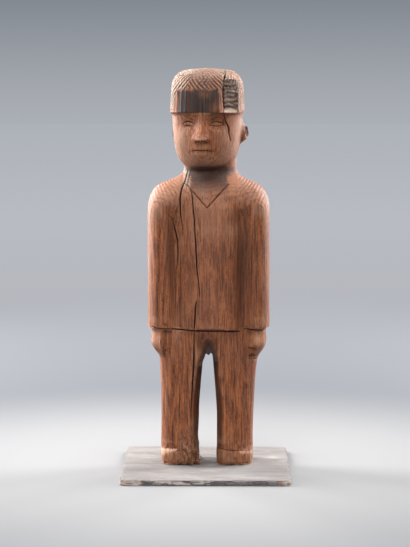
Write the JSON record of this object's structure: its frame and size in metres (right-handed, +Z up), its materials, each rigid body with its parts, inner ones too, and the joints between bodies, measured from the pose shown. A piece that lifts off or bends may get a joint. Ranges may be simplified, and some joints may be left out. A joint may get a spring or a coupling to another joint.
{
  "type": "carved wooden figure",
  "caption": "Standing man carved from one log, in a V-necked shirt and trousers, with a flat-topped block of hatched hair, arms at the sides and broken feet, on a thin weathered board.",
  "frame": {"origin": "middle of the board's underside", "axes": "+Z up along the standing figure; -Y is the figure's front; +X is the figure's own left, on a viewer's right"},
  "size_m": [0.366, 0.357, 0.8813],
  "materials": {
    "carved_wood": "dry reddish-brown hardwood with open grain, dark paint on the front of the hair, splits and pale breaks",
    "weathered_board": "bare grey weathered board with stains and chipped brown edges"
  },
  "bodies": {
    "root": {"carved_figure": "carved_wood", "base_board": "weathered_board"}
  },
  "joints": []
}
